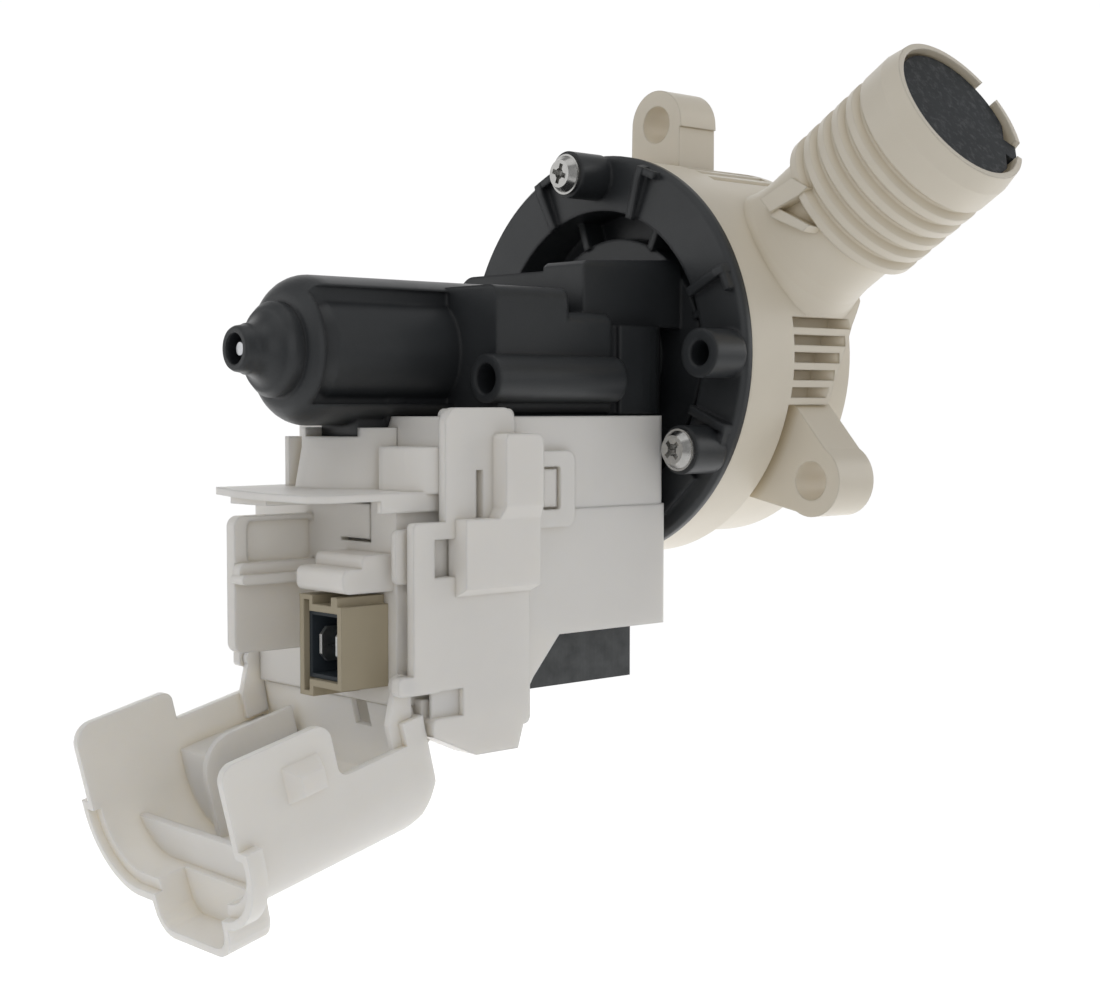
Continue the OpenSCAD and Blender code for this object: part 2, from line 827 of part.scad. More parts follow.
module shelf() {
    z1 = th_top + 1.4;
    near_y = -23.8;
    corner = 4;
    xy_plate(th_top, z1)
        polygon(concat([[cc_x0, 20], [-84.6, 18.6], [-88.6, 6], [-90.7, -4], [-91.1, -12]],
            arc([-91.1 + corner, near_y + corner], corner, 180, 270, 6),
            [[-58, near_y], [-58, -22], [cc_x0, -22]]));
    // Lip under the motor end and curtain under the near edge
    block([-88, -4, th_top - 1.2], [-72, 8, th_top + 0.1]);
    block([-77, near_y, th_top - 2.2], [-58, near_y + 1.4, th_top + 0.1]);
}

module base_box() {
    difference() {
        block([th_x0, -22, th_low], [cc_x0, th_y, th_top + 0.1]);
        block([th_x0 + th_t, -22 + th_t, th_low + th_t], [cc_x0 + 1, th_y - th_t, th_top - th_t]);
        // Slots round the spring tongue in the motor-side wall
        block([th_x0 - 1, -14, -28.2], [th_x0 + 3, -5, -27.8]);
        block([th_x0 - 1, -14, -35.2], [th_x0 + 3, -5, -34.6]);
        block([th_x0 - 1, -14.3, -35.2], [th_x0 + 3, -13.9, -27.8]);
        // Passage for the spade terminals
        block([th_x0 - 1, con_y0 + 2.5, con_low + 3], [th_x0 + 3, con_y1 - 2.5, con_top - 3]);
    }
}

// Round shoulders over the coil ends, under the barrel
module shoulders() {
    difference() {
        union() {
            translate([-61, 3, 0]) {
                xy_plate(th_top + 1, -14.4) circle(r = 12);
                translate([0, 0, th_top + 1]) cylinder(r1 = 13.4, r2 = 12, h = 8);
            }
            xy_plate(th_top + 1, -17.8) rounded([-69, -24.9], [-58, -9], 5);
        }
        block([-80, -14.8, -14.2], [cc_x0 + 1, 14.8, 0]);
    }
    block([-71.2, 13.6, th_top], [cc_x0, 15, -16.2]);
}

module wing() {
    y0 = 4;
    x0 = -89.8;
    difference() {
        xz_plate(y0, y0 + 2.6) rounded([x0, -56], [th_x0 + 1, -30.6], 2);
        xz_plate(y0 - 1, y0 + 1.6) rounded([x0 + 2.8, -39.2], [th_x0 + 0.1, -31.6], 1);
    }
    xz_plate(y0 - 2.4, y0 + 0.1) rounded([x0 - 0.4, -43.2], [th_x0 + 1, -39.2], 1.4);
    xz_plate(y0 - 4, y0 + 0.1) rounded([x0 - 0.8, -43], [th_x0 + 1, -41.2], 0.8);
}

// Stepped hood over the connector
module hood() {
    xz_plate(-21, -6.6) {
        rounded([-83.4, -43.6], [th_x0 + 2, -39.2], 1.5);
        rounded([-79.2, -40.5], [th_x0 + 2, -36.9], 1.2);
    }
}

// Small blocks on both sides that carry the trunnions of the splash cover
module hinge_cheeks() {
    for (side = [-1, 1]) scale([1, side, 1]) {
        xz_plate(ear_t1 + 0.1, cover_y + 1) rounded([hinge_x - 2.6, hinge_z - 1.7], [-66, hinge_z + 1.7], 1);
        block([-70.6, th_y - 1.5, hinge_z - 1.5], [-66.4, cover_y + 0.8, hinge_z + 1.5]);
    }
}

// Room in which the ears of the splash cover swing, inside the blocks
module ear_room() {
    for (side = [-1, 1]) scale([1, side, 1])
        xz_plate(ear_t0 - 0.3, ear_t1 + 0.1) polygon([[-77, -57.6], [-70.8, -57.6],
            [-70.8, -62.6], [-69.4, -67.5], [-68.9, -78], [-77, -78]]);
}

module terminal_housing() at_seat() color(white) {
    difference() {
        union() {
            side_plate();
            hump();
            shelf();
            base_box();
            shoulders();
            wing();
            hood();
            hinge_cheeks();
            // Plate between the hood and the side plate, and its tie to the base box
            xz_plate(-24.2, -22.9) rounded([-74.2, -42.2], [-62, -32.4], 1.2);
            block([-70, -23.3, -40], [-64, -21.9, -36]);
            // Webs that tie the side plate to the base box
            block([-70, -25.1, -57.6], [cc_x0, -21.9, -56]);
            block([-70, -25.1, -46], [cc_x0, -21.9, -44]);
            // Wall set back below the side plate, with a rail and a foot in front of it
            block([-68.4, -24, plate_low + 0.4], [cc_x0 - 0.1, -21.9, th_low + 1]);
            block([-67.4, -25.7, -67], [-60.5, -coil_y - 0.03, -61.2]);
            xz_plate(plate_y, -21.9) rounded([-68, plate_low - 0.4], [-60, -66.7], 1.2);
            xz_plate(plate_y, -gusset_y - 0.1)
                polygon([[-68.4, -69.8], [-58, -74.4], [-47.8, -74.4], [-46.4, -69.8]]);
            // Snap loop over the catch of the coil cover
            difference() {
                xz_plate(-26.4, -coil_y) rounded([th_x1 - 1, -33.4], [-32.6, -18.8], 2);
                xz_plate(-27, -coil_y + 1) rounded([-41, -30], [-36.4, -21.8], 0.6);
            }
        }
        // Space of the coil cover, and of the strip and lug of the casing
        block([cc_x0 - 0.02, -coil_y - 0.02, -66.1], [0, coil_y + 0.02, cc_top + 0.02]);
        strip_room();
        ear_room();
        for (side = [-1, 1]) scale([1, side, 1])
            translate([hinge_x, 20, hinge_z]) rotate([-90, 0, 0])
                cylinder(r = trunnion_r + 0.06, h = 6.35, $fn = 32);
    }
}

// Connector

module connector_shell() at_seat() color(beige) {
    t = 1.3;
    difference() {
        union() {
            block([con_x0, con_y0, con_low], [th_x0, con_y1, con_top]);
            // Keyed flanges above and below
            block([con_x0, con_y0 + 1.2, con_top - 0.1], [th_x0, con_y0 + 3.2, con_top + 1.6]);
            block([con_x0, con_y1 - 4, con_top - 0.1], [th_x0, con_y1, con_top + 1.6]);
            block([con_x0, con_y1 - 4.2, con_low - 1.8], [th_x0, con_y1, con_low + 0.1]);
        }
        block([con_x0 - 1, con_y0 + t, con_low + t], [th_x0 + 1, con_y1 - t, con_top - t]);
        block([con_x0 - 1, con_y1 - 3, con_low - 0.9], [th_x0 - 3, con_y1 - t, con_low + t + 0.1]);
        block([con_x0 - 1, con_y1 - 3, con_top - t - 0.1], [th_x0 - 3, con_y1 - t, con_top + 0.7]);
    }
}

// Dark liner of the connector with a floor that holds the tabs
module connector_insert() at_seat() color("#2c3136") {
    t = 0.8;
    y0 = con_y0 + 1.35;
    y1 = con_y1 - 1.35;
    z0 = con_low + 1.35;
    z1 = con_top - 1.35;
    difference() {
        block([con_x0 + 1.2, y0, z0], [th_x0 - 0.2, y1, z1]);
        block([con_x0, y0 + t, z0 + t], [th_x0 - 3, y1 - t, z1 - t]);
        for (y = tab_ys())
            block([th_x0 - 4, y - 0.42, tab_z0 - 0.02], [th_x0 + 1, y + 0.42, tab_z1 + 0.02]);
    }
}

tab_z0 = -56.6;
tab_z1 = tab_z0 + 6.3;
function tab_ys() = let (mid = (con_y0 + con_y1) / 2) [mid - tab_pitch / 2, mid + tab_pitch / 2];

// Spade terminals, 6.3 mm wide and 0.8 mm thick
module spade_terminals() at_seat() color(steel) {
    for (y = tab_ys())
        difference() {
            xz_plate(y - 0.4, y + 0.4)
                polygon([[con_x0 + 1.8, tab_z0 + 1.4], [con_x0 + 1.8, tab_z1 - 1.4], [con_x0 + 3, tab_z1],
                    [th_x0 + th_t + 3, tab_z1], [th_x0 + th_t + 3, tab_z0], [con_x0 + 3, tab_z0]]);
            translate([con_x0 + 5.6, y, (tab_z0 + tab_z1) / 2]) rotate([90, 0, 0])
                cylinder(r = 0.8, h = 3, center = true, $fn = 24);
        }
}

// Thermal fuse, lying on the floor of the base box
module thermal_fuse() at_seat() color("#d9d6cc") {
    translate([-66, 6, th_low + th_t + 2.01]) rotate([90, 0, 0]) {
        cylinder(r = 2, h = 10, center = true, $fn = 32);
        cylinder(r = 0.4, h = 20, center = true, $fn = 16);
    }
}

// Splash cover, drawn with its length along +X from the hinge and its depth along +Z

module cover_section(grow) {
    w = cover_y + grow;
    d = cover_deep + grow;
    r = cover_corner + grow;
    translate([-w, 0]) square([2 * w, d - r]);
    translate([-w + r, 0]) square([2 * (w - r), d]);
    for (y = [-w + r, w - r]) translate([y, d - r]) circle(r = r);
}

// Side outline of the cover as [length, depth]
module cover_side(inset) {
    front = inset > 0 ? -0.9 : -2.1;
    polygon([[front, -1], [front, 19], [0.2 + inset, 25],
        [6.5 + inset, cover_deep + 3 - inset], [cover_len - 3.2, cover_deep + 3 - inset],
        [cover_len + inset, cover_deep + 3 - inset], [cover_len + inset, -1]]);
}

module cover_solid(inset) {
    intersection() {
        yz_plate(-5, cover_len + inset) cover_section(-inset);
        xz_plate(-40, 40) cover_side(inset);
    }
}

// Outward band and spout at the free end
module cover_end(inset) {
    band_x = cover_len - 3.2;
    spout_x = cover_len - 8.6;
    yz_plate(band_x + inset, cover_len + inset) intersection() {
        cover_section(2.4 - inset);
        translate([-40, 14.8 + inset]) square([80, 40]);
    }
    yz_plate(spout_x + inset, cover_len + inset)
        polygon(concat([[9.8 - inset, cover_deep - 3]],
            arc([4.4, 32.8], 5 - inset, 0, 90, 5), arc([-10.4, 32], 5.6 - inset, 90, 170, 5),
            [[-16.6 + inset, cover_deep - 3]]));
}

// Near wall cut low beside the hinge, with round corners
module near_cut() {
    xz_plate(-cover_y - 1, -ear_t1 + 0.4) {
        translate([2.5, -1]) square([cover_side_cut - 4.5, near_notch + 1]);
        translate([2.5, -1]) square([cover_side_cut - 2.5, near_notch - 1]);
        translate([cover_side_cut - 2, near_notch - 2]) circle(r = 2);
        corner_cut(cover_side_cut, 0, 3, 1, 1);
        corner_cut(cover_len, 0, 3, -1, 1);
    }
    translate([-3, -cover_y - 1, -1]) cube([6.6, 3.6, 1 + 6.2]);
}

// Far wall cut low beside the hinge, with round corners
module far_cut() {
    xz_plate(ear_t1 - 0.4, cover_y + 1) {
        translate([-3, -1]) square([22, 1 + 5.8]);
        corner_cut(19, 0, 2, 1, 1);
        corner_cut(cover_len, 0, 4, -1, 1);
    }
}

module cover_shell() {
    difference() {
        union() {
            cover_solid(0);
            cover_end(0);
        }
        cover_solid(cover_t);
        cover_end(cover_t);
        near_cut();
        far_cut();
        // End wall ends just below the base box
        translate([-3, -ear_t1 - 0.6, -1]) cube([5.2, 2 * ear_t1 + 1.2, 1 + 5.05]);
        // Notch for the key under the connector
        translate([-3, con_y1 - 4.6, -1]) cube([3.6, 5, 1 + 10]);
    }
}

cover_side_cut = 17.6;
near_notch = 10.4;

module cover_inside() {
    floor_z = cover_deep - cover_t + 0.1;
    inner_y = cover_y - cover_t + 0.1;
    // Cross wall near the free end
    intersection() {
        block([30.2, -inner_y, 20.5], [31.6, inner_y, 37]);
        yz_plate(30, 32) cover_section(-0.5);
    }
    // Far compartment with its raised floor
    intersection() {
        union() {
            xz_plate(12.6, 14) difference() {
                translate([0.6, 8.6]) square([21.4, floor_z - 8.6]);
                corner_cut(22, 8.6, 7, -1, 1);
            }
            block([18.4, 13.9, 11.8], [19.9, inner_y, floor_z]);
            block([0.6, 13.9, 11.8], [19.9, inner_y, 13.2]);
        }
        yz_plate(-5, 23) cover_section(-0.5);
        xz_plate(-40, 40) cover_side(0.5);
    }
}

// Ears inside both walls, each with a trunnion that points outwards
module cover_hinge() {
    for (side = [-1, 1]) scale([1, side, 1]) {
        translate([0, ear_t0 + 0.2, 0]) rotate([-90, 0, 0]) cylinder(r = trunnion_r, h = 2.9, $fn = 32);
        xz_plate(ear_t0, ear_t1) {
            circle(r = 2);
            polygon([[-1.8, 0.9], [1.9, 0.6], [4.6, 6], [4.6, 11], [-0.4, 11], [-0.7, 6]]);
        }
    }
}

module splash_cover() at_seat() color(white) {
    translate([hinge_x, 0, hinge_z]) rotate([0, 180 - cover_drop, 0]) {
        cover_shell();
        cover_inside();
        cover_hinge();
        // Wedge on the near wall
        hull() {
            translate([20.9, -cover_y + 0.3, 4]) cube([8, 0.1, 7]);
            translate([21.7, -cover_y - 2.3, 6.4]) cube([4.8, 0.1, 3.6]);
        }
    }
}

// Check flap in the outlet mouth

flap_r = 14.2;
flap_t = 1.8;
flap_s = mouth_s - 3;
flap_angle = -31;
pin_dist = hose_r - 1.5;
pin_r = 0.5;

// Hinge pin of the flap, across the notch of the mouth
module flap_pin(r, half) {
    translate([pin_dist, 0, flap_s + 0.02 + flap_t / 2]) rotate([90, 0, 0])
        cylinder(r = r, h = 2 * half, center = true, $fn = 32);
}

module check_flap() at_seat() color("#2a2e31") {
    on_outlet() {
        difference() {
            union() {
                translate([0, 0, flap_s + 0.02]) cylinder(r = flap_r, h = flap_t);
            }
            // Straight edge beside the hinge
            rotate([0, 0, flap_angle]) block([12.7, -20, flap_s - 1], [20, 20, flap_s + 4]);
        }
        rotate([0, 0, flap_angle]) {
            block([12, -2.2, flap_s + 0.02], [pin_dist, 2.2, flap_s + 0.02 + flap_t]);
            flap_pin(flap_t / 2, 2.2);
            flap_pin(pin_r, 3);
        }
    }
}

volute_housing();
motor_casing();
flange_seal();
case_screws();
impeller();
impeller_cap();
drive_dog();
rotor_shaft();
rotor_magnet();
magnet_sleeve();
front_bearing_carrier();
front_bearing();
shaft_seal();
rear_bearing();
rear_bearing_cushion();
stator_core();
near_bobbin();
far_bobbin();
near_winding();
far_winding();
coil_cover_upper();
coil_cover_lower();
terminal_housing();
connector_shell();
connector_insert();
spade_terminals();
thermal_fuse();
splash_cover();
check_flap();
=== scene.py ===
"""Looks of the washer drain pump: materials, soft studio light and the photograph's camera."""

import math

import bmesh
import bpy
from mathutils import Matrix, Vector


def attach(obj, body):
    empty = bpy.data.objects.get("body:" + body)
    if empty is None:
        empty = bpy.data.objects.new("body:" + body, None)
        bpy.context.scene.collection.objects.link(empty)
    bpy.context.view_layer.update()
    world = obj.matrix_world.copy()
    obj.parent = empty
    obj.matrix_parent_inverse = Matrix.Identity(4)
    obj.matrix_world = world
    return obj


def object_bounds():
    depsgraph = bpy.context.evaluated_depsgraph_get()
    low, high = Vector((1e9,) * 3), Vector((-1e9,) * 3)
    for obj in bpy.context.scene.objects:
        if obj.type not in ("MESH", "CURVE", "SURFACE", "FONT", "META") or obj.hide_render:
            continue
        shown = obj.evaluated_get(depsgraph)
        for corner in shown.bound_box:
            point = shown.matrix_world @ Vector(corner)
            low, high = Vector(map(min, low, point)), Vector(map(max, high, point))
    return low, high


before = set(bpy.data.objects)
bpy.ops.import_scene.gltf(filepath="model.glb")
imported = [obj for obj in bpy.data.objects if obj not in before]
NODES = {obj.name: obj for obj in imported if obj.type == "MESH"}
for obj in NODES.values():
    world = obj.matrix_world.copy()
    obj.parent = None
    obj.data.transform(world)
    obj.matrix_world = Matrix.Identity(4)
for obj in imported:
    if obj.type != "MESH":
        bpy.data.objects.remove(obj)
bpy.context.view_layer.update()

# Camera of the photograph, found from the part's own circles and edges: metres and degrees
CAMERA_AT = (-0.2947, -0.2794, -0.0101)
CAMERA_YAW = 47.91
CAMERA_PITCH = -3.03
CAMERA_CLIP = (0.01, 50.0)
FOCAL_PX = 1800.0
PHOTO_WIDTH_PX = 1100.0
SENSOR_MM = 36.0

# Level direction of the bright backdrop, its light, and the light from everywhere else
BACKDROP = (0.67, 0.742, 0.0)
BACKDROP_LIGHT = 1.02
AMBIENT = 0.32
# Cosines of the angles from the middle of the backdrop at which its light begins and is full
BACKDROP_EDGE = (0.6, 0.88)

# Area lights: place in metres, size in metres and power in watts
LIGHTS = {
    "front": ((-0.8, -0.8, 0.25), 0.9, 1.45),
    "top": ((-0.1, -0.2, 1.1), 1.0, 1.9),
    "right": ((1.0, -0.5, 0.3), 0.7, 2.45),
    "left": ((-0.9, 0.2, 0.7), 0.8, 0.9),
    "behind_left": ((-0.8, 0.8, 0.15), 0.7, 1.1),
}
LIGHTS_AIM = (-0.04, -0.01, -0.02)

# Floor, in metres: its drop below the part, half its side, and the distances at which it begins to fade and
# is gone
FLOOR_DROP = 0.10
FLOOR_REACH = 4.0
FLOOR_FADE = (0.35, 0.9)
# Least and full glow of the floor, and the distances towards the backdrop at which they are reached
FLOOR_GLOW = (0.25, 0.95)
FLOOR_GLOW_SPAN = (-0.05, 0.16)


def make_camera():
    data = bpy.data.cameras.new("photo_camera")
    data.sensor_width = SENSOR_MM
    data.lens = FOCAL_PX / PHOTO_WIDTH_PX * SENSOR_MM
    data.clip_start, data.clip_end = CAMERA_CLIP
    cam = bpy.data.objects.new("photo_camera", data)
    bpy.context.scene.collection.objects.link(cam)
    cam.location = CAMERA_AT
    cam.rotation_euler = (math.radians(90 + CAMERA_PITCH), 0.0, math.radians(CAMERA_YAW - 90))
    bpy.context.scene.camera = cam


# Node helpers

LIGHT_WHITE = (1.0, 1.0, 1.0)
EDGE_SAMPLES = 4
PAINTED_SHADE_SAMPLES = 8
# Share of open directions at which a groove has all of its painted shade, and at which it has none
PAINTED_SHADE_OPEN = (0.3, 0.9)


def shade(colour, factor):
    return tuple(min(1.0, c * factor) for c in colour)


class Tree:
    """A node tree, with short ways to add and join nodes."""

    def __init__(self, tree):
        self.tree = tree

    def node(self, kind, **settings):
        made = self.tree.nodes.new(kind)
        for key, value in settings.items():
            setattr(made, key, value)
        return made

    def join(self, start, end):
        self.tree.links.new(start, end)

    def span(self, source, goal, start=(0.0, 1.0)):
        """source, mapped from the range start to the range goal and held within it."""
        made = self.node("ShaderNodeMapRange")
        for socket, value in zip(("From Min", "From Max", "To Min", "To Max"), (*start, *goal)):
            made.inputs[socket].default_value = value
        self.join(source, made.inputs["Value"])
        return made.outputs["Result"]

    def along(self, source, direction):
        """How far source reaches in a direction."""
        made = self.node("ShaderNodeVectorMath", operation="DOT_PRODUCT")
        made.inputs[1].default_value = direction
        self.join(source, made.inputs[0])
        return made.outputs["Value"]

    def mix(self, amount, first, second):
        """Shader that goes from first to second as amount goes from 0 to 1."""
        made = self.node("ShaderNodeMixShader")
        self.join(amount, made.inputs["Fac"])
        self.join(first, made.inputs[1])
        self.join(second, made.inputs[2])
        return made.outputs["Shader"]


class Look(Tree):
    """A material with one Principled shader, patterned by the place on the object."""

    def __init__(self, name):
        self.material = bpy.data.materials.new(name)
        self.material.use_nodes = True
        super().__init__(self.material.node_tree)
        self.shader = self.tree.nodes["Principled BSDF"]
        self.place = self.node("ShaderNodeTexCoord").outputs["Object"]

    def give(self, socket, value):
        """Set a socket of the shader to a value, or join a node's output to it."""
        target = self.shader.inputs[socket]
        if isinstance(value, bpy.types.NodeSocket):
            self.join(value, target)
        else:
            target.default_value = value

    def noise(self, scale, detail=3.0, rough=0.55, stretch=None):
        made = self.node("ShaderNodeTexNoise")
        made.inputs["Scale"].default_value = scale
        made.inputs["Detail"].default_value = detail
        made.inputs["Roughness"].default_value = rough
        source = self.place
        if stretch:
            mapping = self.node("ShaderNodeMapping")
            mapping.inputs["Scale"].default_value = stretch
            self.join(source, mapping.inputs["Vector"])
            source = mapping.outputs["Vector"]
        self.join(source, made.inputs["Vector"])
        return made.outputs["Fac"]

    def bands(self, axis, profile, scale, waver):
        """Even lines that follow each other along an axis."""
        made = self.node("ShaderNodeTexWave", wave_type="BANDS", bands_direction=axis, wave_profile=profile)
        made.inputs["Scale"].default_value = scale
        made.inputs["Distortion"].default_value = waver
        self.join(self.place, made.inputs["Vector"])
        return made.outputs["Fac"]

    def tones(self, source, colour, *stops):
        """colour times a factor that follows source. The two stops pair a value of source with a factor."""
        made = self.node("ShaderNodeValToRGB")
        for item, (at, factor) in zip(made.color_ramp.elements, stops):
            item.position = at
            item.color = (*shade(colour, factor), 1.0)
        self.join(source, made.inputs["Fac"])
        return made.outputs["Color"]

    def add(self, colour, extra):
        made = self.node("ShaderNodeMixRGB", blend_type="ADD")
        made.inputs["Fac"].default_value = 1.0
        self.join(colour, made.inputs["Color1"])
        self.join(extra, made.inputs["Color2"])
        return made.outputs["Color"]

    def paint_groove_shade(self, colour, shade_colour, reach):
        """colour, turning into a painted shade colour in grooves and corners narrower than reach, where
        shade falls.
        """
        # Painted shade: the less open a point is to its surroundings, the more its colour turns to the shade
        # colour
        opening = self.node("ShaderNodeAmbientOcclusion", samples=PAINTED_SHADE_SAMPLES)
        opening.inputs["Distance"].default_value = reach
        made = self.node("ShaderNodeMixRGB")
        self.join(self.span(opening.outputs["AO"], (1.0, 0.0), PAINTED_SHADE_OPEN), made.inputs["Fac"])
        self.join(colour, made.inputs["Color1"])
        made.inputs["Color2"].default_value = (*shade_colour, 1.0)
        return made.outputs["Color"]

    def soft_edges(self, radius):
        """Normal that rounds the edges of the mesh by radius."""
        made = self.node("ShaderNodeBevel", samples=EDGE_SAMPLES)
        made.inputs["Radius"].default_value = radius
        return made.outputs["Normal"]

    def bump(self, source, strength, distance, normal=None):
        made = self.node("ShaderNodeBump")
        made.inputs["Strength"].default_value = strength
        made.inputs["Distance"].default_value = distance
        self.join(source, made.inputs["Height"])
        if normal is not None:
            self.join(normal, made.inputs["Normal"])
        return made.outputs["Normal"]


# Kinds of material

# Moulded plastic and rubber: scales of the noise textures, and depths of the bumps in metres
FLOW_SCALE = 38.0
DUST_SCALE = 650.0
GLOSS_SCALE = 120.0
GLOSS_VARY = 0.06
GRAIN_DEPTH = 0.00006
RIPPLE_SCALE = 90.0
RIPPLE_STRENGTH = 0.18
RIPPLE_DEPTH = 0.0004
# How far light goes into a soft plastic, in metres, and the share of that for red, green and blue
SOFT_DEPTH = 0.0025
SOFT_REACH = (1.0, 0.95, 0.84)

# Metal: scale of the streaks, their depth in metres, and how much glossier and duller they are
STREAK_SCALE = 900.0
STREAK_DEPTH = 0.00004
STREAK_GLOSS = 0.08
STREAK_DULL = 0.1

# Sheets of the core: scales of their edges and stains, and depth of the edges in metres
SHEET_SCALE = 320.0
SHEET_STAIN_SCALE = 300.0
SHEET_DEPTH = 0.00012

# Turns of wire: their scale, and their depth in metres
WIRE_SCALE = 900.0
WIRE_DEPTH = 0.0001


def moulded(name, colour, rough, vary=0.05, grain=0.25, grain_scale=2600.0, soft=0.0, specular=0.4,
            edge=0.0004, corners=None, reach=0.003, flecks=0.0):
    """Moulded plastic or rubber: faint flow mottling, fine grain, slightly uneven gloss and rounded edges.

    soft is the share of light that goes into it, and flecks the brightness of dust on it. corners multiplies
    the colour in grooves up to reach wide, as painted shade.
    """
    look = Look(name)
    surface = look.tones(look.noise(FLOW_SCALE, 4.0, 0.6), colour, (0.3, 1 - vary), (0.7, 1 + vary))
    if flecks:
        dust = look.tones(look.noise(DUST_SCALE, 4.0, 0.7), LIGHT_WHITE, (0.5, 0.0), (0.7, flecks))
        surface = look.add(surface, dust)
    # Painted shade: grooves and corners are darkened by the corners factors
    if corners:
        surface = look.paint_groove_shade(surface, [c * t for c, t in zip(colour, corners)], reach)
    look.give("Base Color", surface)
    look.give("Roughness", look.span(look.noise(GLOSS_SCALE), (rough - GLOSS_VARY, rough + GLOSS_VARY)))
    look.give("Specular IOR Level", specular)
    if soft:
        look.give("Subsurface Weight", soft)
        look.give("Subsurface Scale", SOFT_DEPTH)
        look.give("Subsurface Radius", SOFT_REACH)
    fine = look.bump(look.noise(grain_scale, 2.0), grain, GRAIN_DEPTH, look.soft_edges(edge))
    look.give("Normal", look.bump(look.noise(RIPPLE_SCALE, 2.0), RIPPLE_STRENGTH, RIPPLE_DEPTH, fine))
    return look.material


def metal(name, colour, rough, stretch=None, grain=0.12):
    """Bare or plated metal with fine streaks, drawn out by stretch."""
    look = Look(name)
    streaks = look.noise(STREAK_SCALE, 3.0, 0.6, stretch)
    look.give("Base Color", look.tones(streaks, colour, (0.25, 0.86), (0.75, 1.08)))
    look.give("Metallic", 1.0)
    look.give("Roughness", look.span(streaks, (rough - STREAK_GLOSS, rough + STREAK_DULL)))
    look.give("Normal", look.bump(streaks, grain, STREAK_DEPTH))
    return look.material


def laminated(name, colour):
    """Stack of thin sheets, with their edges showing as fine lines along the shaft."""
    look = Look(name)
    look.give("Base Color", look.tones(look.noise(SHEET_STAIN_SCALE), colour, (0.3, 0.8), (0.7, 1.25)))
    look.give("Metallic", 0.3)
    look.give("Roughness", 0.45)
    look.give("Normal", look.bump(look.bands("X", "SAW", SHEET_SCALE, 0.15), 0.5, SHEET_DEPTH))
    return look.material


def wound(name, colour):
    """Enamelled wire, laid in level turns."""
    look = Look(name)
    turns = look.bands("Z", "SIN", WIRE_SCALE, 0.3)
    look.give("Base Color", look.tones(turns, colour, (0.1, 0.45), (0.6, 1.0)))
    look.give("Metallic", 0.9)
    look.give("Roughness", 0.3)
    look.give("Normal", look.bump(turns, 0.6, WIRE_DEPTH))
    return look.material


CREAM = (0.765, 0.705, 0.595)
WHITE = (0.845, 0.822, 0.785)
DARK = (0.030, 0.033, 0.036)
BEIGE = (0.42, 0.365, 0.26)

# corners give the factors of painted shade in the grooves and corners of each plastic
MATERIALS = {
    "cream_plastic": moulded("cream_plastic", CREAM, 0.38, vary=0.025, soft=0.08, edge=0.0005,
                             corners=(0.78, 0.73, 0.62), reach=0.003),
    "white_plastic": moulded("white_plastic", WHITE, 0.4, vary=0.02, soft=0.4, edge=0.0008,
                             corners=(0.9, 0.88, 0.84), reach=0.002),
    "cover_plastic": moulded("cover_plastic", WHITE, 0.38, vary=0.02, soft=0.75, edge=0.0004,
                             corners=(0.92, 0.9, 0.86), reach=0.003),
    "dark_plastic": moulded("dark_plastic", DARK, 0.4, vary=0.12, grain=0.35, specular=0.5, edge=0.0011,
                            corners=(0.6, 0.6, 0.62), reach=0.006),
    "beige_plastic": moulded("beige_plastic", BEIGE, 0.45),
    "insert_plastic": moulded("insert_plastic", (0.035, 0.045, 0.055), 0.5, vary=0.1),
    "impeller_plastic": moulded("impeller_plastic", DARK, 0.4, vary=0.1),
    "dog_plastic": moulded("dog_plastic", (0.3, 0.3, 0.3), 0.5),
    "bobbin_plastic": moulded("bobbin_plastic", (0.7, 0.67, 0.56), 0.5),
    "fuse_body": moulded("fuse_body", (0.75, 0.72, 0.64), 0.4),
    "flap_rubber": moulded("flap_rubber", (0.017, 0.021, 0.025), 0.62, vary=0.3, grain=0.8,
                           grain_scale=900.0, flecks=0.05),
    "seal_rubber": moulded("seal_rubber", (0.015, 0.015, 0.016), 0.6, grain=0.4),
    "magnet": moulded("magnet", (0.05, 0.048, 0.05), 0.55, grain=0.5),
    "zinc_steel": metal("zinc_steel", (0.5, 0.495, 0.48), 0.24),
    "shaft_steel": metal("shaft_steel", (0.6, 0.61, 0.63), 0.22, stretch=(0.1, 1, 1)),
    "tab_steel": metal("tab_steel", (0.6, 0.61, 0.6), 0.3),
    "sinter_bronze": metal("sinter_bronze", (0.42, 0.3, 0.17), 0.45, grain=0.4),
    "core_sheets": laminated("core_sheets", (0.08, 0.084, 0.086)),
    "copper_wire": wound("copper_wire", (0.62, 0.27, 0.13)),
}

LOOK_OF = {
    "volute_housing": "cream_plastic",
    "motor_casing": "dark_plastic",
    "flange_seal": "seal_rubber",
    "case_screws": "zinc_steel",
    "impeller": "impeller_plastic",
    "impeller_cap": "impeller_plastic",
    "drive_dog": "dog_plastic",
    "rotor_shaft": "shaft_steel",
    "rotor_magnet": "magnet",
    "magnet_sleeve": "dog_plastic",
    "front_bearing_carrier": "dark_plastic",
    "front_bearing": "sinter_bronze",
    "shaft_seal": "seal_rubber",
    "rear_bearing": "sinter_bronze",
    "rear_bearing_cushion": "seal_rubber",
    "stator_core": "core_sheets",
    "near_bobbin": "bobbin_plastic",
    "far_bobbin": "bobbin_plastic",
    "near_winding": "copper_wire",
    "far_winding": "copper_wire",
    "coil_cover_upper": "white_plastic",
    "coil_cover_lower": "white_plastic",
    "terminal_housing": "white_plastic",
    "connector_shell": "beige_plastic",
    "connector_insert": "insert_plastic",
    "spade_terminals": "tab_steel",
    "thermal_fuse": "fuse_body",
    "splash_cover": "cover_plastic",
    "check_flap": "flap_rubber",
}


def dress_nodes():
    for name, look in LOOK_OF.items():
        node = NODES[name]
        node.data.materials.clear()
        node.data.materials.append(MATERIALS[look])
        for face in node.data.polygons:
            face.material_index = 0


